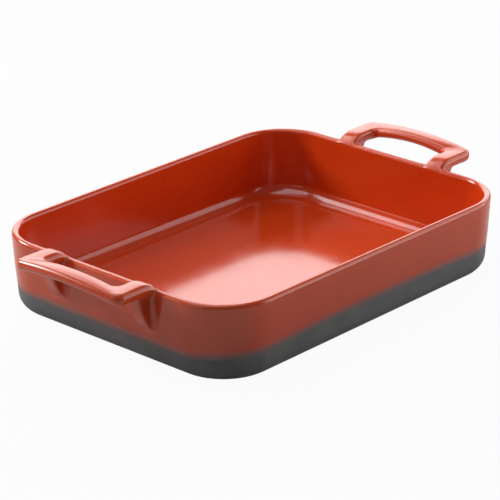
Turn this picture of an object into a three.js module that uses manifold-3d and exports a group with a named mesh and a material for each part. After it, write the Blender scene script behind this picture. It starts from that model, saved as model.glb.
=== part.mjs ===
// A rectangular roasting dish of dark stoneware with a loop handle luted to each short wall.
// It is glazed red inside and over the upper part of its outside, and bare below the glaze line.
// Millimetres, +Z up, +X along the dish. The origin is on the table under the middle of the tub.

import * as THREE from 'three';
import Module from 'manifold-3d';

// Driving dimensions of the clay tub
const RIM_LENGTH = 329;          // outside, along X
const RIM_WIDTH = 249;           // outside, along Y
const TUB_HEIGHT = 62;           // table to the crest of the rim
const RIM_CORNER_RADIUS = 46.5;  // outside, in plan
const WALL_DRAFT = 3.6;          // how far each wall leans in from the rim down to the table
const WALL_THICKNESS = 5;
const FLOOR_THICKNESS = 6;
const BASE_FILLET = 13;          // outside, between wall and table
const FLOOR_FILLET = 15;         // inside, between wall and floor
const FOOT_WIDTH = 12;           // flat ring that stands on the table
const FOOT_RECESS = 1;           // hollow under the floor, inside that ring
const RECESS_SLOPE = 3;          // width of the ramp from the foot up to the hollow

// Driving dimensions of the coats and of the slip that bonds the handles
const GLAZE_THICKNESS = 0.4;
const GLAZE_LINE = 21;           // lower edge of the outer coat, above the table
const SLIP_THICKNESS = 0.3;
const BOND_GAP = 0.1;            // clearance at every bonded face

// Driving dimensions of a handle
const ARM_RISE = 7;              // top of the arms above the crest of the rim
const BAR_RISE = 11;             // top of the bar at its middle, above the crest of the rim
const OPENING_SPAN = 74;         // finger opening, along the wall
const OPENING_DEPTH = 23.5;      // finger opening, from the wall to the bar
const ARM_WIDTH = 17.5;
const ARM_THICKNESS = 9.5;
const BAR_WIDTH = 15.6;
const BAR_THICKNESS = 9;
const BAR_BOW_RADIUS = 680;      // outer edge of the bar, in plan
const LOOP_OUTER_CORNER = 8;
const LOOP_INNER_CORNER = 5;
const ARCH_LENGTH = 12;          // from the wall to where the arm starts to bend down to the rim
const BRACKET_WIDTH = 12;
const BRACKET_REACH = 14;        // from the wall, under the arm
const BRACKET_DROP = 25;         // below the arm, on the wall

// Roundness of the handle's sections: 2 is an ellipse, more is squarer
const ARM_ROUNDNESS = 3;
const BAR_ROUNDNESS = 2.4;
const BRACKET_ROUNDNESS = 4;

// How finely round stretches are divided
const CORNER_STEPS = 8;
const FILLET_STEPS = 6;
const RIM_QUARTER_STEPS = 4;
const SECTION_STEPS = 20;
const ARM_STEPS = 10;
const BRACKET_STEPS = 6;
const LOOP_CORNER_STEPS = 6;
const HALF_BAR_STEPS = 4;

// Colours, roughness and metalness
const BARE_CLAY = { color: 0x4a4b49, roughness: 0.75, metalness: 0 };
const DRIED_SLIP = { color: 0x6a6661, roughness: 0.85, metalness: 0 };
const RED_GLAZE = { color: 0xb23a1e, roughness: 0.12, metalness: 0 };

const wasm = await Module();
wasm.setup();

// Solids and meshes

function geometryToSolid(geometry) {
  return new wasm.Manifold(new wasm.Mesh({
    numProp: 3,
    vertProperties: geometry.getAttribute('position').array,
    triVerts: geometry.getIndex().array,
  }));
}

function solidToGeometry(solid) {
  const mesh = solid.getMesh();
  const geometry = new THREE.BufferGeometry();
  geometry.setAttribute('position', new THREE.BufferAttribute(mesh.vertProperties, 3));
  geometry.setIndex(new THREE.BufferAttribute(mesh.triVerts, 1));
  return geometry;
}

function namedMesh(name, solid, finish) {
  const mesh = new THREE.Mesh(solidToGeometry(solid), new THREE.MeshStandardMaterial(finish));
  mesh.name = name;
  return mesh;
}

// A fan of triangles that closes a ring of points on its own centre, facing along or against its travel.
function closeRing(ring, firstIndex, facesForward, positions, indices) {
  const centre = new THREE.Vector3();
  ring.forEach((point) => centre.addScaledVector(point, 1 / ring.length));
  const middle = positions.length / 3;
  positions.push(centre.x, centre.y, centre.z);
  ring.forEach((point, j) => {
    const here = firstIndex + j;
    const next = firstIndex + (j + 1) % ring.length;
    indices.push(middle, facesForward ? here : next, facesForward ? next : here);
  });
}

// A solid whose skin passes through rings of points. Each ring runs anticlockwise as seen from the
// next one. The skin either closes on itself, like a tyre, or is capped at its two ends.
function loft(rings, closesOnItself) {
  const count = rings[0].length;
  const positions = rings.flat().flatMap((point) => [point.x, point.y, point.z]);
  const indices = [];
  const strips = closesOnItself ? rings.length : rings.length - 1;
  for (let i = 0; i < strips; i += 1) {
    const here = i * count;
    const next = ((i + 1) % rings.length) * count;
    for (let j = 0; j < count; j += 1) {
      const k = (j + 1) % count;
      indices.push(here + j, here + k, next + k, here + j, next + k, next + j);
    }
  }
  if (!closesOnItself) {
    closeRing(rings[0], 0, false, positions, indices);
    closeRing(rings.at(-1), (rings.length - 1) * count, true, positions, indices);
  }
  const geometry = new THREE.BufferGeometry();
  geometry.setAttribute('position', new THREE.BufferAttribute(new Float32Array(positions), 3));
  geometry.setIndex(new THREE.BufferAttribute(new Uint32Array(indices), 1));
  return geometryToSolid(geometry);
}

// The tub's profile: points hold the inset from the rim's outline and the height above the table.
// A skin that lies proud of the clay has the same profile, moved out along its normals.

const wallLean = Math.atan2(WALL_DRAFT, TUB_HEIGHT);
const outerWallAngle = Math.PI + wallLean;
const innerWallAngle = wallLean;
const crestAngle = Math.PI / 2;
const downAngle = 1.5 * Math.PI;
const rimRadius = WALL_THICKNESS / 2;
const rimCentre = new THREE.Vector2(rimRadius, TUB_HEIGHT - rimRadius);

// Inset at a height of the line that lies a given distance outside the middle of the wall.
function insetBesideWall(outside, height) {
  return rimCentre.x - (outside + Math.sin(wallLean) * (height - rimCentre.y)) / Math.cos(wallLean);
}

function profileArc(centre, radius, fromAngle, toAngle, steps) {
  const clockwise = toAngle < fromAngle;
  return new THREE.ArcCurve(centre.x, centre.y, radius, fromAngle, toAngle, clockwise).getPoints(steps);
}

function baseFilletArc(proud) {
  const inset = insetBesideWall(rimRadius - BASE_FILLET, BASE_FILLET);
  const centre = new THREE.Vector2(inset, BASE_FILLET);
  return profileArc(centre, BASE_FILLET + proud, downAngle, outerWallAngle, FILLET_STEPS);
}

function floorFilletArc(proud) {
  const height = FLOOR_THICKNESS + FLOOR_FILLET;
  const centre = new THREE.Vector2(insetBesideWall(-rimRadius - FLOOR_FILLET, height), height);
  return profileArc(centre, FLOOR_FILLET - proud, outerWallAngle, downAngle, FILLET_STEPS);
}

function outerRimArc(proud) {
  return profileArc(rimCentre, rimRadius + proud, outerWallAngle, crestAngle, RIM_QUARTER_STEPS);
}

function innerRimArc(proud) {
  return profileArc(rimCentre, rimRadius + proud, crestAngle, innerWallAngle, RIM_QUARTER_STEPS);
}

function tubProfile(proud) {
  return [
    ...baseFilletArc(proud),
    ...outerRimArc(proud),
    ...innerRimArc(proud).slice(1),
    ...floorFilletArc(proud),
  ];
}

// A level ring round the dish: the rim's outline drawn in by the profile point's inset.
function ringRoundDish(profilePoint) {
  const radius = RIM_CORNER_RADIUS - profilePoint.x;
  const centreX = RIM_LENGTH / 2 - RIM_CORNER_RADIUS;
  const centreY = RIM_WIDTH / 2 - RIM_CORNER_RADIUS;
  const signs = [[1, 1], [-1, 1], [-1, -1], [1, -1]];
  return signs.flatMap(([signX, signY], quarter) => {
    const start = quarter * Math.PI / 2;
    const arc = new THREE.ArcCurve(signX * centreX, signY * centreY, radius, start, start + Math.PI / 2);
    return arc.getPoints(CORNER_STEPS).map((point) => new THREE.Vector3(point.x, point.y, profilePoint.y));
  });
}

function loftRoundDish(profile, closesOnItself) {
  return loft(profile.map(ringRoundDish), closesOnItself);
}

function tubWithSkin(proud) {
  return loftRoundDish(tubProfile(proud), false);
}

// The tub: hollow under the floor, foot, base fillet, wall, rim, inner wall, floor fillet and floor

function clayTub() {
  const profile = tubProfile(0);
  const footInset = profile[0].x + FOOT_WIDTH;
  const underside = [
    new THREE.Vector2(footInset + RECESS_SLOPE, FOOT_RECESS),
    new THREE.Vector2(footInset, 0),
  ];
  return loftRoundDish([...underside, ...profile], false);
}

// The two coats of glaze on the tub, which meet at the crest of the rim

const glazeBack = BOND_GAP;
const glazeFace = BOND_GAP + GLAZE_THICKNESS;

function innerGlaze() {
  const liningProfile = (proud) => [...innerRimArc(proud), ...floorFilletArc(proud)];
  return loftRoundDish([...liningProfile(glazeBack).reverse(), ...liningProfile(glazeFace)], false);
}

function outerGlaze() {
  const crestClearance = new THREE.Vector2(-BOND_GAP, 0);
  const coatProfile = (proud) => [
    new THREE.Vector2(insetBesideWall(rimRadius + proud, GLAZE_LINE), GLAZE_LINE),
    ...outerRimArc(proud).map((point, i) => (i === RIM_QUARTER_STEPS ? point.add(crestClearance) : point)),
  ];
  return loftRoundDish([...coatProfile(glazeFace), ...coatProfile(glazeBack).reverse()], true);
}

// A handle, at the +X end. Its loop runs between two edges in plan: the edge of the finger opening
// and the outer edge. Each edge is a shallow bow along the bar, a round corner and a straight arm.

const wallFace = RIM_LENGTH / 2;
const innerWallFace = wallFace - WALL_THICKNESS;

function loopEdge(halfSpan, reach, cornerRadius, bowRadius) {
  const bowX = reach - bowRadius;
  const cornerY = halfSpan - cornerRadius;
  const cornerX = bowX + Math.sqrt((bowRadius - cornerRadius) ** 2 - cornerY ** 2);
  const meetAngle = Math.atan2(cornerY, cornerX - bowX);
  const bow = new THREE.ArcCurve(bowX, 0, bowRadius, 0, meetAngle);
  const corner = new THREE.ArcCurve(cornerX, cornerY, cornerRadius, meetAngle, Math.PI / 2);
  const arm = new THREE.LineCurve(
    new THREE.Vector2(cornerX, halfSpan),
    new THREE.Vector2(innerWallFace, halfSpan),
  );
  return { bow, corner, arm };
}

const barInnerX = wallFace + OPENING_DEPTH;
const barOuterX = barInnerX + BAR_WIDTH;
const openingEdge = loopEdge(
  OPENING_SPAN / 2,
  barInnerX,
  LOOP_INNER_CORNER,
  BAR_BOW_RADIUS - BAR_WIDTH,
);
const outerEdge = loopEdge(
  OPENING_SPAN / 2 + ARM_WIDTH,
  barOuterX,
  LOOP_OUTER_CORNER,
  BAR_BOW_RADIUS,
);

const armTopLevel = TUB_HEIGHT + ARM_RISE;
const armMiddleY = (OPENING_SPAN + ARM_WIDTH) / 2;

// The bar is highest at its middle and falls in a parabola to the level of the arms.
function barTop(middleY) {
  return armTopLevel + (BAR_RISE - ARM_RISE) * (1 - (middleY / armMiddleY) ** 2);
}

// An arm bends down near the wall, in a parabola that meets the rim at the inner wall.
function armTop(outward) {
  const bend = Math.max(0, (ARCH_LENGTH - outward) / (ARCH_LENGTH + WALL_THICKNESS));
  return armTopLevel - ARM_RISE * bend ** 2;
}

// A rounded oblong section that stands between two points in plan and between two heights.
function oblongSection(inner, outer, top, bottom, roundness, grow) {
  const middle = new THREE.Vector2().addVectors(inner, outer).multiplyScalar(0.5);
  const across = new THREE.Vector2().subVectors(outer, inner);
  const halfWidth = across.length() / 2 + grow;
  const halfHeight = (top - bottom) / 2 + grow;
  across.normalize();
  const squarer = (value) => Math.sign(value) * Math.abs(value) ** (2 / roundness);
  return Array.from({ length: SECTION_STEPS }, (unused, i) => {
    const angle = 2 * Math.PI * i / SECTION_STEPS;
    const sideways = halfWidth * squarer(Math.cos(angle));
    return new THREE.Vector3(
      middle.x + across.x * sideways,
      middle.y + across.y * sideways,
      (top + bottom) / 2 + halfHeight * squarer(Math.sin(angle)),
    );
  });
}

// Sections from the middle of the bar, round the corner and along one arm into the wall.
function halfLoopSections(grow) {
  const sections = [];
  for (let i = 0; i < HALF_BAR_STEPS + LOOP_CORNER_STEPS; i += 1) {
    const turned = Math.max(0, i - HALF_BAR_STEPS) / LOOP_CORNER_STEPS;
    const eased = THREE.MathUtils.smoothstep(turned, 0, 1);
    const pointOn = (edge) => (
      i < HALF_BAR_STEPS ? edge.bow.getPoint(i / HALF_BAR_STEPS) : edge.corner.getPoint(turned)
    );
    const inner = pointOn(openingEdge);
    const outer = pointOn(outerEdge);
    const top = barTop((inner.y + outer.y) / 2);
    const bottom = top - THREE.MathUtils.lerp(BAR_THICKNESS, ARM_THICKNESS, eased);
    const roundness = THREE.MathUtils.lerp(BAR_ROUNDNESS, ARM_ROUNDNESS, eased);
    sections.push(oblongSection(inner, outer, top, bottom, roundness, grow));
  }
  for (let i = 0; i <= ARM_STEPS; i += 1) {
    const inner = openingEdge.arm.getPoint(i / ARM_STEPS);
    const outer = outerEdge.arm.getPoint(i / ARM_STEPS);
    const top = armTop((inner.x + outer.x) / 2 - wallFace);
    sections.push(oblongSection(inner, outer, top, top - ARM_THICKNESS, ARM_ROUNDNESS, grow));
  }
  return sections;
}

// A section mirrored to the other arm runs the right way round for a loft in the other direction.
function mirroredSection(section) {
  return section.map((point) => new THREE.Vector3(point.x, -point.y, point.z));
}

function loopSolid(grow) {
  const half = halfLoopSections(grow);
  const other = half.slice(1).map(mirroredSection);
  return loft([...half.reverse(), ...other], false);
}

// The bracket under one arm: an upright web whose foot runs down to the wall in a straight line.
function bracketSolid(side, grow) {
  const sections = [];
  for (let i = 0; i <= BRACKET_STEPS; i += 1) {
    const outward = THREE.MathUtils.lerp(-WALL_THICKNESS, BRACKET_REACH, i / BRACKET_STEPS);
    const middle = new THREE.Vector2(wallFace + outward, side * armMiddleY);
    const halfAcross = new THREE.Vector2(0, BRACKET_WIDTH / 2);
    const top = armTop(outward) - ARM_THICKNESS / 2;
    const foot = armTopLevel - ARM_THICKNESS - BRACKET_DROP * (1 - outward / BRACKET_REACH);
    sections.push(oblongSection(
      new THREE.Vector2().subVectors(middle, halfAcross),
      new THREE.Vector2().addVectors(middle, halfAcross),
      top,
      foot,
      BRACKET_ROUNDNESS,
      grow,
    ));
  }
  return loft(sections, false);
}

// The whole casting with its roots run into the wall, grown all round by a clearance.
function uncutHandle(grow) {
  return loopSolid(grow).add(bracketSolid(1, grow)).add(bracketSolid(-1, grow));
}

function handle() {
  return uncutHandle(0).subtract(tubWithSkin(BOND_GAP + SLIP_THICKNESS + BOND_GAP));
}

function slipLayer() {
  const layer = tubWithSkin(BOND_GAP + SLIP_THICKNESS).subtract(tubWithSkin(BOND_GAP));
  return uncutHandle(0).intersect(layer);
}

// Assembly: the tub, then at each end the slip and the handle, then the coats cut to fit round them

const halfTurn = 180;
const rootClearance = uncutHandle(BOND_GAP);
const rootsClearance = rootClearance.add(rootClearance.rotate([0, 0, halfTurn]));

const dish = new THREE.Group();
dish.add(namedMesh('clay_tub', clayTub(), BARE_CLAY));
dish.add(namedMesh('inner_glaze', innerGlaze().subtract(rootsClearance), RED_GLAZE));
dish.add(namedMesh('outer_glaze', outerGlaze().subtract(rootsClearance), RED_GLAZE));

function handleEnd(side, towardsBack) {
  const end = new THREE.Group();
  end.rotation.z = side === 'left' ? Math.PI : 0;
  end.add(namedMesh(`${side}_handle`, handle(), RED_GLAZE));
  const slip = slipLayer();
  end.add(namedMesh(`${side}_back_slip`, slip.trimByPlane([0, towardsBack, 0], 0), DRIED_SLIP));
  end.add(namedMesh(`${side}_front_slip`, slip.trimByPlane([0, -towardsBack, 0], 0), DRIED_SLIP));
  return end;
}

dish.add(handleEnd('right', 1));
dish.add(handleEnd('left', -1));

export default dish;
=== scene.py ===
import math

import bpy
import numpy as np
from mathutils import Matrix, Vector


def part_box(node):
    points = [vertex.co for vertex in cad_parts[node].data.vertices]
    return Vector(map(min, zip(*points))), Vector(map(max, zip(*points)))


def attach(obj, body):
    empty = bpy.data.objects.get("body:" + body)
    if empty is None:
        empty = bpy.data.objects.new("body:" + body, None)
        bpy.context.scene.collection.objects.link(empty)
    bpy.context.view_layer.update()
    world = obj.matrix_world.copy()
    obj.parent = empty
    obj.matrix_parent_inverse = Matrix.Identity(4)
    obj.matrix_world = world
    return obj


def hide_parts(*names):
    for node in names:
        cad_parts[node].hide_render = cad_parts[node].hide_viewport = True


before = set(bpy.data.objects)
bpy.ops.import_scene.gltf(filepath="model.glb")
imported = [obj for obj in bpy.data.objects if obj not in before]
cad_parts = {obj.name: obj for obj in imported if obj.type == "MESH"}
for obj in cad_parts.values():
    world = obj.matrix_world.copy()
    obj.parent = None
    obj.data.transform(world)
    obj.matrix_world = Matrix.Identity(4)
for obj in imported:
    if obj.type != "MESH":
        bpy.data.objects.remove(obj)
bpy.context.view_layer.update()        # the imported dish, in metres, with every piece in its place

mm = 0.001


# The clay tub. Dark stoneware, cast in a plaster mould in one piece and fired bare.
# Its walls lean out a little from a ground foot up to a round rim. Glaze hides all of it but the
# lowest third of the walls and the underside, which is hollowed so that the dish stands steady.

tub_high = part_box("clay_tub")[1]       # half the tub's length, half its width, and its height
rim_corner_radius = 46.5 * mm
wall_draft = 3.6 * mm
wall_thickness = 5 * mm
floor_thickness = 6 * mm
base_fillet = 13 * mm
floor_hollow = 18 * mm                 # radius where the floor turns up
wall_hollow = 5 * mm                   # radius where it turns into the wall
hollow_change = math.radians(52)       # slope at which the one gives way to the other
foot_width = 12 * mm
foot_hollow = 1 * mm
hollow_ramp = 3 * mm
base_fillet_points = 21                # points along each stretch of the profile
rim_points = 17
wall_hollow_points = 15
floor_hollow_points = 25
ramp_points = 13
seam_step = 0.01                       # radians, the short step beside the crest of the rim
floor_rings = 12
innermost_share = 0.01                 # a floor's innermost ring is this small beside its outermost

wall_lean = math.atan2(wall_draft, tub_high.z)
rim_radius = wall_thickness / 2
rim_centre = np.array([rim_radius, tub_high.z - rim_radius])
outer_wall_angle = math.pi + wall_lean
crest_angle = math.pi / 2
down_angle = 1.5 * math.pi


def arc(centre, radius, angles):
    """Points of an arc: the centre plus the radius times the cosine and the sine of each angle."""
    return np.asarray(centre) + radius * np.stack([np.cos(angles), np.sin(angles)], axis=1)


def s_curve(share):
    """A smooth way from 0 to 1: three times the square of the share, less twice its cube."""
    return share ** 2 * (3 - 2 * share)


def inset_beside_wall(outside, height):
    """Inset at a height of the leaning line that lies a given distance outside the middle of the wall."""
    rise = height - rim_centre[1]
    return rim_centre[0] - (outside + math.sin(wall_lean) * rise) / math.cos(wall_lean)


def base_fillet_arc():
    """Profile from the foot up to the outer wall: an arc from straight down to square to the wall."""
    centre = [inset_beside_wall(rim_radius - base_fillet, base_fillet), base_fillet]
    return arc(centre, base_fillet, np.linspace(down_angle, outer_wall_angle, base_fillet_points))


def outer_rim_arc(proud):
    """Profile from the outer wall up to the crest of the rim. Its last step is a short one, so that the
    two coats that meet there are shaded as one surface."""
    angles = np.append(np.linspace(outer_wall_angle, crest_angle + seam_step, rim_points), crest_angle)
    return arc(rim_centre, rim_radius + proud, angles)


def inner_rim_arc(proud):
    """Profile from the crest of the rim down to the inner wall, with a short first step."""
    angles = np.append(crest_angle, np.linspace(crest_angle - seam_step, wall_lean, rim_points))
    return arc(rim_centre, rim_radius + proud, angles)


def floor_fillet_arc(proud):
    """Profile from the inner wall down to the floor: a tight hollow arc under the wall, then a wide one
    that touches it and the floor. Both are smaller where the skin lies proud."""
    apart = floor_hollow - wall_hollow
    height = floor_thickness + floor_hollow - apart * math.cos(hollow_change)
    tight_centre = np.array([inset_beside_wall(-rim_radius - wall_hollow, height), height])
    wide_centre = tight_centre + apart * np.array([math.sin(hollow_change), math.cos(hollow_change)])
    meet = down_angle - hollow_change
    tight_angles = np.linspace(outer_wall_angle, meet, wall_hollow_points)[:-1]
    wide_angles = np.linspace(meet, down_angle, floor_hollow_points)
    tight = arc(tight_centre, wall_hollow - proud, tight_angles)
    wide = arc(wide_centre, floor_hollow - proud, wide_angles)
    return np.concatenate([tight, wide])


def underside_profile():
    """Profile under the floor: flat, then an S-shaped ramp down to the foot."""
    share = np.linspace(0, 1, ramp_points)
    foot_inset = base_fillet_arc()[0, 0] + foot_width
    height = foot_hollow * (1 - s_curve(share))
    return np.stack([foot_inset + hollow_ramp * (1 - share), height], axis=1)


def plan_stations(corner_steps, side_steps):
    """Stations anticlockwise round the dish. Each has a foot on the rectangle of the corner centres and
    the direction in which the outline lies from there: turning round a corner, constant along a side."""
    corners = np.array([[1, 1], [-1, 1], [-1, -1], [1, -1]])
    corners = corners * (np.array([tub_high.x, tub_high.y]) - rim_corner_radius)
    sides = np.roll(corners, -1, axis=0) - corners
    quarters = np.arange(4)[:, None] * math.pi / 2
    turn = np.linspace(0, math.pi / 2, corner_steps + 1)
    along = np.linspace(0, 1, side_steps + 1)[1:-1]
    corner_feet = np.repeat(corners[:, None], len(turn), axis=1)
    side_feet = corners[:, None] + along[None, :, None] * sides[:, None]
    side_angles = np.repeat(quarters + math.pi / 2, len(along), axis=1)
    feet = np.concatenate([corner_feet, side_feet], axis=1).reshape(-1, 2)
    angles = np.concatenate([quarters + turn, side_angles], axis=1).reshape(-1)
    return feet, np.stack([np.cos(angles), np.sin(angles)], axis=1)


station_feet, station_directions = plan_stations(corner_steps=28, side_steps=24)


def rings_round_dish(profile):
    """Carries a profile of insets and heights round the dish: each ring lies off the stations' feet by
    the rim's corner radius less the inset. There is one profile for all stations, or one for each."""
    inset, height = np.moveaxis(profile.reshape(len(profile), -1, 2), 2, 0)
    plan = station_feet + (rim_corner_radius - inset)[..., None] * station_directions
    height = np.broadcast_to(height[..., None], (*plan.shape[:2], 1))
    return np.concatenate([plan, height], axis=2)


def rings_to_middle(ring, steps):
    """Rings that shrink evenly from a given one to nearly nothing, which make up a flat floor."""
    share = np.linspace(1, innermost_share, steps + 1)[1:, None, None]
    height = np.broadcast_to(ring[:, 2:], (steps, len(ring), 1))
    return np.concatenate([ring[None, :, :2] * share, height], axis=2)


def skin(name, rings, joins_ends=False):
    """A closed skin of quads through rings of points. The columns close into rings. The first and the
    last ring either join each other or are each closed by a flat face."""
    rows, columns = rings.shape[:2]
    index = np.arange(rows * columns).reshape(rows, columns)
    here, beyond = (index, np.roll(index, -1, axis=0)) if joins_ends else (index[:-1], index[1:])
    corners = [here, np.roll(here, -1, axis=1), np.roll(beyond, -1, axis=1), beyond]
    faces = np.stack(corners, axis=-1).reshape(-1, 4).tolist()
    if not joins_ends:
        faces += [index[0, ::-1].tolist(), index[-1].tolist()]
    mesh = bpy.data.meshes.new(name)
    mesh.from_pydata(rings.reshape(-1, 3).tolist(), [], faces)
    mesh.shade_smooth()
    piece = bpy.data.objects.new(name, mesh)
    bpy.context.scene.collection.objects.link(piece)
    return piece


def linear(red, green, blue):
    """A colour as the shaders take it, from the three numbers of 0 to 255 that a screen shows. It undoes
    the screen's curve, which has a straight start and then follows a power."""
    screen = np.array([red, green, blue]) / 255
    return (*np.where(screen < 0.04045, screen / 12.92, ((screen + 0.055) / 1.055) ** 2.4), 1)


def add_node(tree, kind, inputs, **settings):
    """Adds a node: its settings, then each input as a value or as a link from another node's socket."""
    node = tree.nodes.new(kind)
    for name, value in settings.items():
        setattr(node, name, value)
    for name, value in inputs.items():
        if isinstance(value, bpy.types.NodeSocket):
            tree.links.new(value, node.inputs[name])
        else:
            node.inputs[name].default_value = value
    return node


def mixed_colour(tree, factor, first, second):
    """A colour between two colours, by a factor."""
    mix = add_node(tree, "ShaderNodeMix", {0: factor, 6: first, 7: second}, data_type="RGBA")
    return mix.outputs[2]


def stretched(tree, value, old_range, new_range):
    """A value carried from one range to another, and held at the ends."""
    inputs = {"Value": value, "From Min": old_range[0], "From Max": old_range[1]}
    inputs |= {"To Min": new_range[0], "To Max": new_range[1]}
    return add_node(tree, "ShaderNodeMapRange", inputs).outputs["Result"]


def noise(tree, scale, detail=2.0, roughness=0.5):
    """Noise on the piece's own coordinates, with a scale in waves per metre."""
    place = add_node(tree, "ShaderNodeTexCoord", {}).outputs["Object"]
    inputs = {"Vector": place, "Scale": scale, "Detail": detail, "Roughness": roughness}
    return add_node(tree, "ShaderNodeTexNoise", inputs).outputs["Fac"]


def bump(tree, height, strength, distance):
    """The surface's normal, roughened by a height that spans a distance."""
    inputs = {"Strength": strength, "Distance": distance, "Height": height}
    return add_node(tree, "ShaderNodeBump", inputs).outputs["Normal"]


def empty_material(name):
    """A new material with only its output, and its node tree."""
    material = bpy.data.materials.new(name)
    material.use_nodes = True
    tree = material.node_tree
    tree.nodes.clear()
    return material, tree, tree.nodes.new("ShaderNodeOutputMaterial")


charcoal = linear(93, 93, 94)
ash_grey = linear(105, 105, 104)
pale_grain = linear(132, 130, 126)


def bare_clay():
    """Fired stoneware: charcoal, a little patchy, with a fine grain that is felt more than seen."""
    material, tree, output = empty_material("bare_clay")
    patches = stretched(tree, noise(tree, scale=35, detail=3.0), (0.35, 0.65), (0.0, 1.0))
    grains = stretched(tree, noise(tree, scale=1400, detail=1.0), (0.58, 0.72), (0.0, 0.6))
    body = mixed_colour(tree, patches, charcoal, ash_grey)
    inputs = {
        "Base Color": mixed_colour(tree, grains, body, pale_grain),
        "Roughness": stretched(tree, noise(tree, scale=90), (0.3, 0.7), (0.5, 0.66)),
        "IOR": 1.45,
        "Normal": bump(tree, noise(tree, scale=900, detail=3.0), strength=0.35, distance=0.08 * mm),
    }
    shader = add_node(tree, "ShaderNodeBsdfPrincipled", inputs)
    tree.links.new(shader.outputs[0], output.inputs["Surface"])
    return material


tub_rings = rings_round_dish(np.concatenate([
    underside_profile(),
    base_fillet_arc(),
    outer_rim_arc(0),
    inner_rim_arc(0)[1:],
    floor_fillet_arc(0),
]))
clay_tub = skin("stoneware_tub", np.concatenate([
    rings_to_middle(tub_rings[0], floor_rings)[::-1],
    tub_rings,
    rings_to_middle(tub_rings[-1], floor_rings),
]))
clay_tub.data.materials.append(bare_clay())
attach(clay_tub, "root")
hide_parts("clay_tub")


# The slip. A thin layer of liquid clay, brushed on where each handle root meets the wall and rim.
# It dries pale and rough, and the firing makes one piece of tub and handle. Nothing of it shows.

slip_grey = linear(100, 96, 91)
pale_slip = linear(120, 115, 108)


def dried_slip():
    """Dried slip: pale grey, streaked by the brush and rough."""
    material, tree, output = empty_material("dried_slip")
    streaks = noise(tree, scale=260, detail=4.0, roughness=0.7)
    streaks = stretched(tree, streaks, (0.35, 0.65), (0.0, 1.0))
    inputs = {
        "Base Color": mixed_colour(tree, streaks, slip_grey, pale_slip),
        "Roughness": stretched(tree, streaks, (0.0, 1.0), (0.8, 0.9)),
    }
    shader = add_node(tree, "ShaderNodeBsdfPrincipled", inputs)
    tree.links.new(shader.outputs[0], output.inputs["Surface"])
    return material


slip_material = dried_slip()
for place in ("left_front_slip", "left_back_slip", "right_front_slip", "right_back_slip"):
    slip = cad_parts[place]
    slip.data.materials.clear()
    slip.data.materials.append(slip_material)


# The handles. Each is one stoneware casting: a bar, two arms and a bracket under each arm.
# They are luted to the tub while the clay is damp, and the joints are sponged to soft hollow fillets.
# The glaze runs over them and the tub without a break.

handle_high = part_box("right_handle")[1]
wall_face = tub_high.x
coat_face = 0.5 * mm                   # the glaze's face lies this far outside the clay
glaze_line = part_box("outer_glaze")[0].z
feather = 7 * mm                       # height over which the glaze fades out at its line
edge_tuck = 0.05 * mm                  # the glaze's lower edge lies this far inside the clay
tuck_height = 1.5 * mm                 # and comes out of it over this height
sunk = 0.02 * mm                       # past its fillets a root lies at most this far under the glaze
arm_width = 17.5 * mm
arm_thickness = 9.5 * mm
arm_rise = 7 * mm                      # from the rim to the arm's top
arch_length = 12 * mm                  # stretch outside the wall over which an arm bends down to the rim
bar_width = 15.6 * mm
bar_thickness = 9 * mm
bar_bow_radius = 680 * mm
outer_corner = 8 * mm
inner_corner = 5 * mm
side_radius = 4 * mm                   # of the rounded sides of bar and arms
bar_crown = 1.0 * mm                   # the bar's top is this much lower at its sides
arm_crown = 0.6 * mm
corner_crown = 0.2 * mm
bracket_half_width = 5.8 * mm
bracket_reach = 13.5 * mm
bracket_drop = 28.5 * mm
bracket_bulge = 1.5                    # of its foot seen from the side: 1 is straight, 2 a quarter ellipse
bracket_edge = 1.8 * mm
wall_melt = 4.5 * mm                   # width of the fillets
rim_melt = 2 * mm
bracket_melt = 3 * mm
rim_fade = 8 * mm                      # height under the rim over which its fillet widens to the wall's

bow_steps = 30                         # rings along half the bar, round its corner and on to the wall
corner_steps = 16
shoulder_steps = 8
root_steps = 11
fillet_steps = 45
wall_rings = 30
root_start = 16 * mm                   # distance from the wall at which the root's rings start
fillet_start = 9 * mm                  # and at which they lie closer
ring_points = 112
squareness = 2 / 3                     # power that turns the rays of a ring towards its corners
skirt = 12 * mm                        # the rays reach this far past the section

coat_edge = glaze_line - feather / 2 - tuck_height
opening_half_span = handle_high.y - arm_width
arm_middle = handle_high.y - arm_width / 2
arm_top_level = tub_high.z + arm_rise
arm_under = arm_top_level - arm_thickness
wall_centre_x = wall_face - rim_centre[0]
inner_face = wall_centre_x - rim_radius - coat_face


def loop_edge(half_span, reach, corner_radius, bow_radius, arm_x):
    """Half of one edge of the handle in plan, from the middle of the bar to the wall: a shallow bow, a
    round corner that touches both its neighbours, a stretch of the arm, then the arm at given places."""
    bow_x = reach - bow_radius
    corner_y = half_span - corner_radius
    corner_x = bow_x + math.sqrt((bow_radius - corner_radius) ** 2 - corner_y ** 2)
    meet = math.atan2(corner_y, corner_x - bow_x)
    bow = arc([bow_x, 0], bow_radius, np.linspace(0, meet, bow_steps + 1)[:-1])
    corner_angles = np.linspace(meet, math.pi / 2, corner_steps + 1)[:-1]
    corner = arc([corner_x, corner_y], corner_radius, corner_angles)
    shoulder_x = np.linspace(corner_x, arm_x[0], shoulder_steps + 1)[:-1]
    along_arm = np.append(shoulder_x, arm_x)
    arm = np.stack([along_arm, np.full(len(along_arm), half_span)], axis=1)
    return np.concatenate([bow, corner, arm])


def rim_surface(x):
    """Height of the glazed rim's round top over a place along X."""
    across = np.clip(np.abs(x - wall_centre_x) / (rim_radius + coat_face), 0, 1)
    return rim_centre[1] + (rim_radius + coat_face) * np.sqrt(1 - across ** 2)


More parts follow.
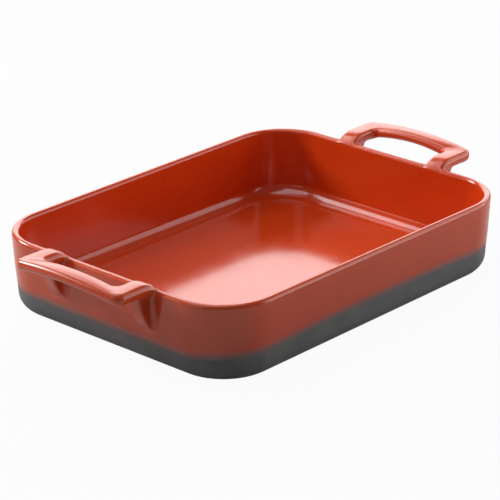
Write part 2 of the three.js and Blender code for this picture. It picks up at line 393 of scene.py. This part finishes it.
def arm_top(x):
    """Top of an arm: level, then bending down towards the rim with the cube of the way, and over the inner
    half of the rim rounding off onto its surface in a quarter ellipse."""
    bend = np.maximum(0, (arch_length - (x - wall_face)) / (arch_length + wall_thickness))
    arch = arm_top_level - arm_rise * bend ** 3
    inward = np.clip((wall_centre_x - x) / (wall_centre_x - inner_face), 0, 1)
    lift = arch - rim_surface(x)
    return rim_surface(x) + lift * np.sqrt(1 - inward ** 2)


def strap_gap(across, up, half_width, half_height, crown):
    """How far a point lies outside a strap's section: a rectangle with rounded sides, whose faces fall off
    by the crown times the square of the way to the side."""
    beside = np.abs(across) - half_width + side_radius
    above = np.abs(up) + crown * (across / half_width) ** 2 - half_height + side_radius
    outside = np.hypot(np.maximum(beside, 0), np.maximum(above, 0))
    return outside + np.minimum(np.maximum(beside, above), 0) - side_radius


def superellipse_gap(across, up, half_width, half_height, roundness):
    """About how far a point lies outside a superellipse: its level less one, over the level's slope."""
    tiny = 1e-9                        # keeps the powers finite on the axes
    u = np.abs(across) / half_width + tiny
    v = np.abs(up) / half_height + tiny
    level = (u ** roundness + v ** roundness) ** (1 / roundness)
    slope = np.hypot(u ** (roundness - 1) / half_width, v ** (roundness - 1) / half_height)
    return (level - 1) * level ** (roundness - 1) / slope


def bracket_gap(x, y, z, above_arm):
    """About how far a point lies outside a bracket: an upright web with round edges, which ends inside
    the arm. Its foot swings from the wall out to the arm in part of a superellipse."""
    out = np.maximum(x - wall_face, 0)
    down = np.maximum(arm_under - z, 0)
    below = superellipse_gap(out, down, bracket_reach, bracket_drop, bracket_bulge)
    below = np.maximum(below, above_arm)
    beside = np.abs(np.abs(y) - arm_middle) - bracket_half_width
    below_core = below + bracket_edge
    beside_core = beside + bracket_edge
    outside = np.hypot(np.maximum(below_core, 0), np.maximum(beside_core, 0))
    return outside + np.minimum(np.maximum(below_core, beside_core), 0) - bracket_edge


def outer_lift(proud, height):
    """How far a face of the outer glaze lies outside the clay at a height. It comes out of the clay below
    the feather edge and thickens evenly over twice the feather's height."""
    share = np.clip((height - coat_edge) / (2 * feather), 0, 1)
    return (proud + edge_tuck) * share - edge_tuck


def wall_gap(x, z):
    """How far a point lies outside the glazed wall: its distance to the wall's middle line, which leans
    down from the rim's centre, less half the wall and the coat."""
    dx = x - wall_centre_x
    dz = z - rim_centre[1]
    along = np.maximum(-dx * math.sin(wall_lean) - dz * math.cos(wall_lean), 0)
    to_middle = np.hypot(dx + along * math.sin(wall_lean), dz + along * math.cos(wall_lean))
    return to_middle - rim_radius - outer_lift(coat_face, z)


def melted(first, second, width):
    """Two gaps melted into one: the lesser, lowered where they are within a width of each other."""
    near = np.maximum(width - np.abs(first - second), 0)
    return np.minimum(first, second) - near ** 2 / (4 * width)


def distance_to_skin(gap, limit, steps=72, halvings=18):
    """Distance along each ray to the first place outside: walked in even steps, then halved. A ray that
    stays inside ends at its limit."""
    low = np.zeros_like(limit)
    high = limit.copy()
    found = np.zeros(limit.shape, bool)
    for step in range(1, steps + 1):
        outside = (gap(limit * step / steps) > 0) & ~found
        low = np.where(outside, limit * (step - 1) / steps, low)
        high = np.where(outside, limit * step / steps, high)
        found |= outside
    for halving in range(halvings):
        middle = (low + high) / 2
        outside = gap(middle) > 0
        high = np.where(found & outside, middle, high)
        low = np.where(found & ~outside, middle, low)
    return np.where(found, (low + high) / 2, limit)


def half_handle():
    """Rings from the middle of the bar round the corner and along one arm, through the wall to its inner
    face. Each ring's points lie where rays from the middle of the section leave the handle, whose bar
    or arm, bracket and wall are melted into each other."""
    arm_x = np.concatenate([
        np.linspace(wall_face + root_start, wall_face + fillet_start, root_steps + 1)[:-1],
        np.linspace(wall_face + fillet_start, wall_face, fillet_steps + 1)[:-1],
        np.linspace(wall_face, inner_face + sunk, wall_rings),
    ])
    inner = loop_edge(
        opening_half_span, handle_high.x - bar_width, inner_corner, bar_bow_radius - bar_width, arm_x
    )
    outer = loop_edge(handle_high.y, handle_high.x, outer_corner, bar_bow_radius, arm_x)
    middle = (inner + outer) / 2
    width = np.linalg.norm(outer - inner, axis=1)
    across = (outer - inner) / width[:, None]
    half_width = width[:, None] / 2

    ring = np.arange(len(middle))
    turned = s_curve(np.clip((ring - bow_steps) / corner_steps, 0, 1))
    halfway = 4 * turned * (1 - turned)
    thickness = bar_thickness + (arm_thickness - bar_thickness) * turned
    half_height = thickness[:, None] / 2
    crown = bar_crown + (arm_crown - bar_crown) * turned
    crown = (crown + (corner_crown - crown) * halfway)[:, None]
    bar_top = arm_top_level + (handle_high.z - arm_top_level) * (1 - (middle[:, 1] / arm_middle) ** 2)
    top = np.where(ring < bow_steps + corner_steps, bar_top, arm_top(middle[:, 0]))
    centre = top[:, None] - half_height

    turn = np.linspace(0, 2 * math.pi, ring_points, endpoint=False)
    waves = np.stack([np.cos(turn), np.sin(turn)])
    sideways, upwards = np.sign(waves) * np.abs(waves) ** squareness
    out_share = np.clip((middle[:, :1] - wall_face) / bracket_reach, 0, 1)
    foot = arm_under - bracket_drop * (1 - out_share ** bracket_bulge) ** (1 / bracket_bulge)
    depth = np.maximum(half_height, centre - foot)
    upwards = np.where(upwards > 0, half_height, depth) * upwards
    sideways = half_width * sideways
    length = np.hypot(sideways, upwards)
    sideways, upwards = sideways / length, upwards / length

    def place(distance):
        plan = middle[:, None] + across[:, None] * (sideways * distance)[..., None]
        return plan[..., 0], plan[..., 1], centre + upwards * distance

    def gap(distance):
        x, y, z = place(distance)
        strap = strap_gap(sideways * distance, upwards * distance, half_width, half_height, crown)
        casting = melted(strap, bracket_gap(x, y, z, upwards * distance), bracket_melt)
        share = np.clip((rim_centre[1] - z) / rim_fade, 0, 1)
        melt = rim_melt + (wall_melt - rim_melt) * share
        wall = wall_gap(x, z)
        past_fillet = np.maximum(casting - wall - melt, 0)
        return melted(casting, wall, melt) + np.minimum(past_fillet ** 2 / (4 * melt), sunk)

    points = place(distance_to_skin(gap, length + skirt))
    return np.stack(points, axis=2)


def handle_rings():
    """A whole handle at the +X end: half of it, and the same half mirrored to the other arm."""
    half = half_handle()
    other = half[1:] * np.array([1, -1, 1])
    return np.concatenate([half[::-1], other])


right_rings = handle_rings()
right_handle = skin("right_loop_handle", right_rings)
left_handle = skin("left_loop_handle", right_rings * np.array([-1, -1, 1]))

poured_red = linear(205, 64, 18)
cloud_red = linear(212, 69, 21)
mottle_red = linear(199, 60, 17)
thin_red = linear(207, 84, 36)
speck_brown = linear(96, 24, 12)


def glaze_group():
    """Red glaze on clay, for every glazed piece: where it thins it is warmer, with faint clouds, a fine
    mottle, sparse dark specks and a barely wavy face. It is glossy, or duller where it is satin."""
    tree = bpy.data.node_groups.new("Glaze", "ShaderNodeTree")
    tree.interface.new_socket("Thinness", in_out="INPUT", socket_type="NodeSocketFloat")
    tree.interface.new_socket("Satin", in_out="INPUT", socket_type="NodeSocketFloat")
    tree.interface.new_socket("Colour", in_out="OUTPUT", socket_type="NodeSocketColor")
    tree.interface.new_socket("Roughness", in_out="OUTPUT", socket_type="NodeSocketFloat")
    tree.interface.new_socket("Height", in_out="OUTPUT", socket_type="NodeSocketFloat")
    given = tree.nodes.new("NodeGroupInput").outputs
    output = tree.nodes.new("NodeGroupOutput")
    clouds = stretched(tree, noise(tree, scale=22, detail=3.0), (0.3, 0.7), (0.0, 1.0))
    mottle = stretched(tree, noise(tree, scale=240, detail=3.0, roughness=0.6), (0.35, 0.65), (0.0, 0.35))
    specks = stretched(tree, noise(tree, scale=620, detail=0.0), (0.765, 0.80), (0.0, 0.22))
    red = mixed_colour(tree, clouds, poured_red, cloud_red)
    red = mixed_colour(tree, mottle, red, mottle_red)
    red = mixed_colour(tree, given["Thinness"], red, thin_red)
    red = mixed_colour(tree, specks, red, speck_brown)
    glossy = stretched(tree, noise(tree, scale=70), (0.3, 0.7), (0.1, 0.15))
    roughness = add_node(tree, "ShaderNodeMath", {0: glossy, 1: given["Satin"]}, operation="ADD")
    tree.links.new(red, output.inputs["Colour"])
    tree.links.new(roughness.outputs[0], output.inputs["Roughness"])
    tree.links.new(noise(tree, scale=110), output.inputs["Height"])
    return tree


glaze_nodes = glaze_group()


def red_glaze(name, thinness, satin=0.0):
    """Red glaze: thick where it was poured, thinner and warmer where it was sprayed, and more or less
    satin. Gives the material, its tree and its shader."""
    material, tree, output = empty_material(name)
    glaze = tree.nodes.new("ShaderNodeGroup")
    glaze.node_tree = glaze_nodes
    glaze.inputs["Thinness"].default_value = thinness
    glaze.inputs["Satin"].default_value = satin
    inputs = {
        "Base Color": glaze.outputs["Colour"],
        "Roughness": glaze.outputs["Roughness"],
        "IOR": 1.6,
        "Normal": bump(tree, glaze.outputs["Height"], strength=0.2, distance=0.05 * mm),
    }
    shader = add_node(tree, "ShaderNodeBsdfPrincipled", inputs)
    tree.links.new(shader.outputs[0], output.inputs["Surface"])
    return material, tree, shader


handle_glaze = red_glaze("handle_glaze", thinness=0.3, satin=0.12)[0]
for handle, node in ((left_handle, "left_handle"), (right_handle, "right_handle")):
    handle.data.materials.append(handle_glaze)
    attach(handle, "root")
    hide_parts(node)


# The inner glaze. A coat of red glass, poured into the tub and swirled up to the crest of the rim.
# The firing fuses it to the clay in one smooth glossy skin over the floor, the fillets and the walls.

coat_back = 0.1 * mm                   # the coat's back lies this far outside the clay
lining_floor_rings = 16


def lining_rings(proud):
    """Rings of one face of the lining, from the crest of the rim down the wall and in over the floor."""
    rings = rings_round_dish(np.concatenate([inner_rim_arc(proud), floor_fillet_arc(proud)]))
    return np.concatenate([rings, rings_to_middle(rings[-1], lining_floor_rings)])


both_faces = np.concatenate([lining_rings(coat_back)[::-1], lining_rings(coat_face)])
inner_coat = skin("inner_glaze_coat", both_faces)
inner_coat.data.materials.append(red_glaze("inner_glaze", thinness=0.0)[0])
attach(inner_coat, "root")
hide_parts("inner_glaze")


# The outer glaze. The same glass, sprayed on the upper two thirds of the walls from outside.
# It thins out to nothing at its lower edge, where the dark clay shows through the last of the spray.
# The edge climbs a little round the corners and lies highest in the middle of the long walls.

corner_rise = 3.3 * mm                 # the line climbs this far round each corner
middle_rise = 2.2 * mm                 # and so much further to the middle of a long wall
climb_start = 80 * mm                  # distance from the long axis at which it starts to climb
darkening_height = 34 * mm                  # the coat grows darker towards its line from this height above it
line_red_share = 0.85                      # share of its full red at the line
mist_spread = 0.7 * mm                 # the spray's edge is ragged by this much up and down
coat_steps = 30
misted_clay = linear(96, 96, 96)
misted_roughness = 0.58
# the brown that the coat's red darkens to towards its line
brown_at_line = linear(110, 46, 30)


def line_rise(x, y):
    """How far the glaze line lies above its level on the short walls: an S-curve across each corner,
    times a parabola that is highest in the middle of the long walls."""
    share = np.clip((np.abs(y) - climb_start) / (tub_high.y - climb_start), 0, 1)
    bow = np.maximum(1 - (x / (tub_high.x - rim_corner_radius)) ** 2, 0)
    return s_curve(share) * (corner_rise + middle_rise * bow)


station_points = station_feet + rim_corner_radius * station_directions
station_rise = line_rise(station_points[:, 0], station_points[:, 1])


def coat_wall(proud):
    """One face of the coat on the straight part of the wall, for each station."""
    share = np.linspace(0, 1, coat_steps + 1)[:-1, None]
    edge = coat_edge + station_rise
    height = edge + (rim_centre[1] - edge) * share
    inset = inset_beside_wall(rim_radius + outer_lift(proud, height - station_rise), height)
    return np.stack([inset, height], axis=2)


def outer_face(proud):
    """Profiles of one face of the coat, from its lower edge up to the crest of the rim."""
    rim = outer_rim_arc(proud)[:, None]
    rim = np.broadcast_to(rim, (len(rim), len(station_rise), 2))
    return np.concatenate([coat_wall(proud), rim])


outer_rings = rings_round_dish(np.concatenate([outer_face(coat_face), outer_face(coat_back)[::-1]]))
outer_coat = skin("outer_glaze_coat", outer_rings, joins_ends=True)
above_line = outer_coat.data.attributes.new("above_line", "FLOAT", "POINT")
above_line.data.foreach_set("value", (outer_rings[..., 2] - glaze_line - station_rise).reshape(-1))


def sprayed_glaze():
    """The same glaze where it is sprayed: it darkens down to the glaze line, and across the line it breaks
    up into mist on bare clay. It reads its height above the line from the coat's own attribute."""
    material, tree, shader = red_glaze("outer_glaze", thinness=0.3)
    height = add_node(tree, "ShaderNodeAttribute", {}, attribute_name="above_line").outputs["Fac"]
    mist = stretched(tree, noise(tree, scale=700), (0.3, 0.7), (-mist_spread, mist_spread))
    ragged = add_node(tree, "ShaderNodeMath", {0: height, 1: mist}, operation="ADD").outputs[0]
    cover = stretched(tree, ragged, (-feather / 2, feather / 2), (0.0, 1.0))
    # darker towards the glaze line: the red turns partly to brown over the lower stretch of the wall
    depth = stretched(tree, height, (0.0, darkening_height), (line_red_share, 1.0))
    colour = shader.inputs["Base Color"].links[0].from_socket
    colour = mixed_colour(tree, depth, brown_at_line, colour)
    colour = mixed_colour(tree, cover, misted_clay, colour)
    roughness = shader.inputs["Roughness"].links[0].from_socket
    roughness = add_node(tree, "ShaderNodeMix", {0: cover, 2: misted_roughness, 3: roughness}).outputs[0]
    tree.links.new(colour, shader.inputs["Base Color"])
    tree.links.new(roughness, shader.inputs["Roughness"])
    return material


outer_coat.data.materials.append(sprayed_glaze())
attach(outer_coat, "root")
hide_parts("outer_glaze")


# The studio. A white floor that runs out of sight, a white surround and soft lamps. As the camera sees
# it, the two strongest stand behind the dish and to its left, and weaker ones above and at both sides.
# The camera stands where the photograph was taken from, off the left front corner and a little above.

floor_half = 6.0                       # metres
paper_grey = 0.55
surround_strength = 0.05


def white_backdrop(tree, lit, camera_share, mirror_share):
    """A shader that is plain white for one share to the camera and for another in reflections, and lit for
    the rest."""
    rays = add_node(tree, "ShaderNodeLightPath", {}).outputs
    mirrored = {0: rays["Is Glossy Ray"], 1: rays["Is Transmission Ray"]}
    mirrored = add_node(tree, "ShaderNodeMath", mirrored, operation="MAXIMUM").outputs[0]
    in_camera = {0: rays["Is Camera Ray"], 1: camera_share}
    in_camera = add_node(tree, "ShaderNodeMath", in_camera, operation="MULTIPLY").outputs[0]
    share = {0: mirrored, 1: mirror_share, 2: in_camera}
    share = add_node(tree, "ShaderNodeMath", share, operation="MULTIPLY_ADD").outputs[0]
    white = add_node(tree, "ShaderNodeEmission", {"Color": (1, 1, 1, 1), "Strength": 1.0})
    return add_node(tree, "ShaderNodeMixShader", {0: share, 1: lit, 2: white.outputs[0]}).outputs[0]


floor_mesh = bpy.data.meshes.new("studio_floor")
floor_corners = np.array([[-1, -1, 0], [1, -1, 0], [1, 1, 0], [-1, 1, 0]]) * floor_half
floor_mesh.from_pydata(floor_corners.tolist(), [], [[0, 1, 2, 3]])
studio_floor = bpy.data.objects.new("studio_floor", floor_mesh)
bpy.context.scene.collection.objects.link(studio_floor)
floor_material, floor_tree, floor_output = empty_material("floor_paper")
paper_colour = (paper_grey, paper_grey, paper_grey, 1)
paper = add_node(floor_tree, "ShaderNodeBsdfDiffuse", {"Color": paper_colour}).outputs[0]
white_paper = white_backdrop(floor_tree, paper, camera_share=0.95, mirror_share=0.15)
floor_tree.links.new(white_paper, floor_output.inputs["Surface"])
floor_mesh.materials.append(floor_material)

world = bpy.data.worlds.new("surround")
bpy.context.scene.world = world
world.use_nodes = True
sky = world.node_tree
sky.nodes.clear()
surround = {"Color": (1, 1, 1, 1), "Strength": surround_strength}
surround = add_node(sky, "ShaderNodeBackground", surround).outputs[0]
white_surround = white_backdrop(sky, surround, camera_share=1.0, mirror_share=0.1)
world_output = sky.nodes.new("ShaderNodeOutputWorld")
sky.links.new(white_surround, world_output.inputs["Surface"])


def softbox(name, azimuth, elevation, distance, width, height, radiance):
    """A soft lamp that faces the dish: it stands at an azimuth from +X and an elevation, in degrees. Its
    power is its radiance times pi times its area."""
    lamp = bpy.data.lights.new(name, "AREA")
    lamp.shape = "RECTANGLE"
    lamp.size = width
    lamp.size_y = height
    lamp.energy = radiance * math.pi * width * height
    holder = bpy.data.objects.new(name, lamp)
    turn, rise = math.radians(azimuth), math.radians(elevation)
    away = np.array([math.cos(turn) * math.cos(rise), math.sin(turn) * math.cos(rise), math.sin(rise)])
    side = np.array([-math.sin(turn), math.cos(turn), 0])
    upward = np.cross(away, side)
    axes = np.eye(4)
    axes[:3] = np.stack([side, upward, away, away * distance], axis=1)
    holder.matrix_world = Matrix(axes.tolist())
    holder.visible_camera = False
    bpy.context.scene.collection.objects.link(holder)


softbox("rear_softbox", azimuth=43, elevation=23, distance=2.0, width=2.4, height=1.07, radiance=3.05)
softbox("key_softbox", azimuth=112, elevation=28.5, distance=2.0, width=0.54, height=0.44, radiance=34)
softbox("top_softbox", azimuth=87, elevation=50, distance=0.9, width=0.3, height=0.24, radiance=5.0)
softbox("overhead_softbox", azimuth=95, elevation=77, distance=1.6, width=1.1, height=1.1, radiance=2.1)
softbox("right_softbox", azimuth=-41, elevation=25, distance=1.2, width=1.0, height=0.95, radiance=1.6)
softbox("low_softbox", azimuth=-47, elevation=6, distance=1.2, width=1.0, height=0.2, radiance=2.9)
softbox("end_softbox", azimuth=-10, elevation=20, distance=1.0, width=0.5, height=0.4, radiance=1.8)
softbox("left_softbox", azimuth=137, elevation=27, distance=1.2, width=0.5, height=0.14, radiance=3.6)
softbox("side_softbox", azimuth=176, elevation=32, distance=1.2, width=0.5, height=0.4, radiance=1.2)

view_azimuth = math.radians(-47.07)
view_elevation = math.radians(22.346)
view_roll = math.radians(-0.606)
view_distance = 1942.3 * mm
view_aim_height = 31.289 * mm          # place on the tub's upright axis from which the aim is measured
view_aim_right = -4.108 * mm
view_aim_above = -2.615 * mm
photo_side = 500                       # pixels
focal_length = 2509.4                  # pixels
sensor_side = 36.0                     # the camera's own millimetres

back = np.array([
    math.sin(view_azimuth) * math.cos(view_elevation),
    -math.cos(view_azimuth) * math.cos(view_elevation),
    math.sin(view_elevation),
])
level = np.array([math.cos(view_azimuth), math.sin(view_azimuth), 0])
upright = np.cross(back, level)
right = math.cos(view_roll) * level + math.sin(view_roll) * upright
above = math.cos(view_roll) * upright - math.sin(view_roll) * level
aim = np.array([0, 0, view_aim_height]) + view_aim_right * right + view_aim_above * above
pose = np.eye(4)
pose[:3] = np.stack([right, above, back, aim + view_distance * back], axis=1)
lens = bpy.data.cameras.new("camera")
lens.sensor_width = sensor_side
lens.lens = focal_length * sensor_side / photo_side
camera = bpy.data.objects.new("camera", lens)
camera.matrix_world = Matrix(pose.tolist())
bpy.context.scene.collection.objects.link(camera)
bpy.context.scene.camera = camera
bpy.context.scene.view_settings.view_transform = "Standard"
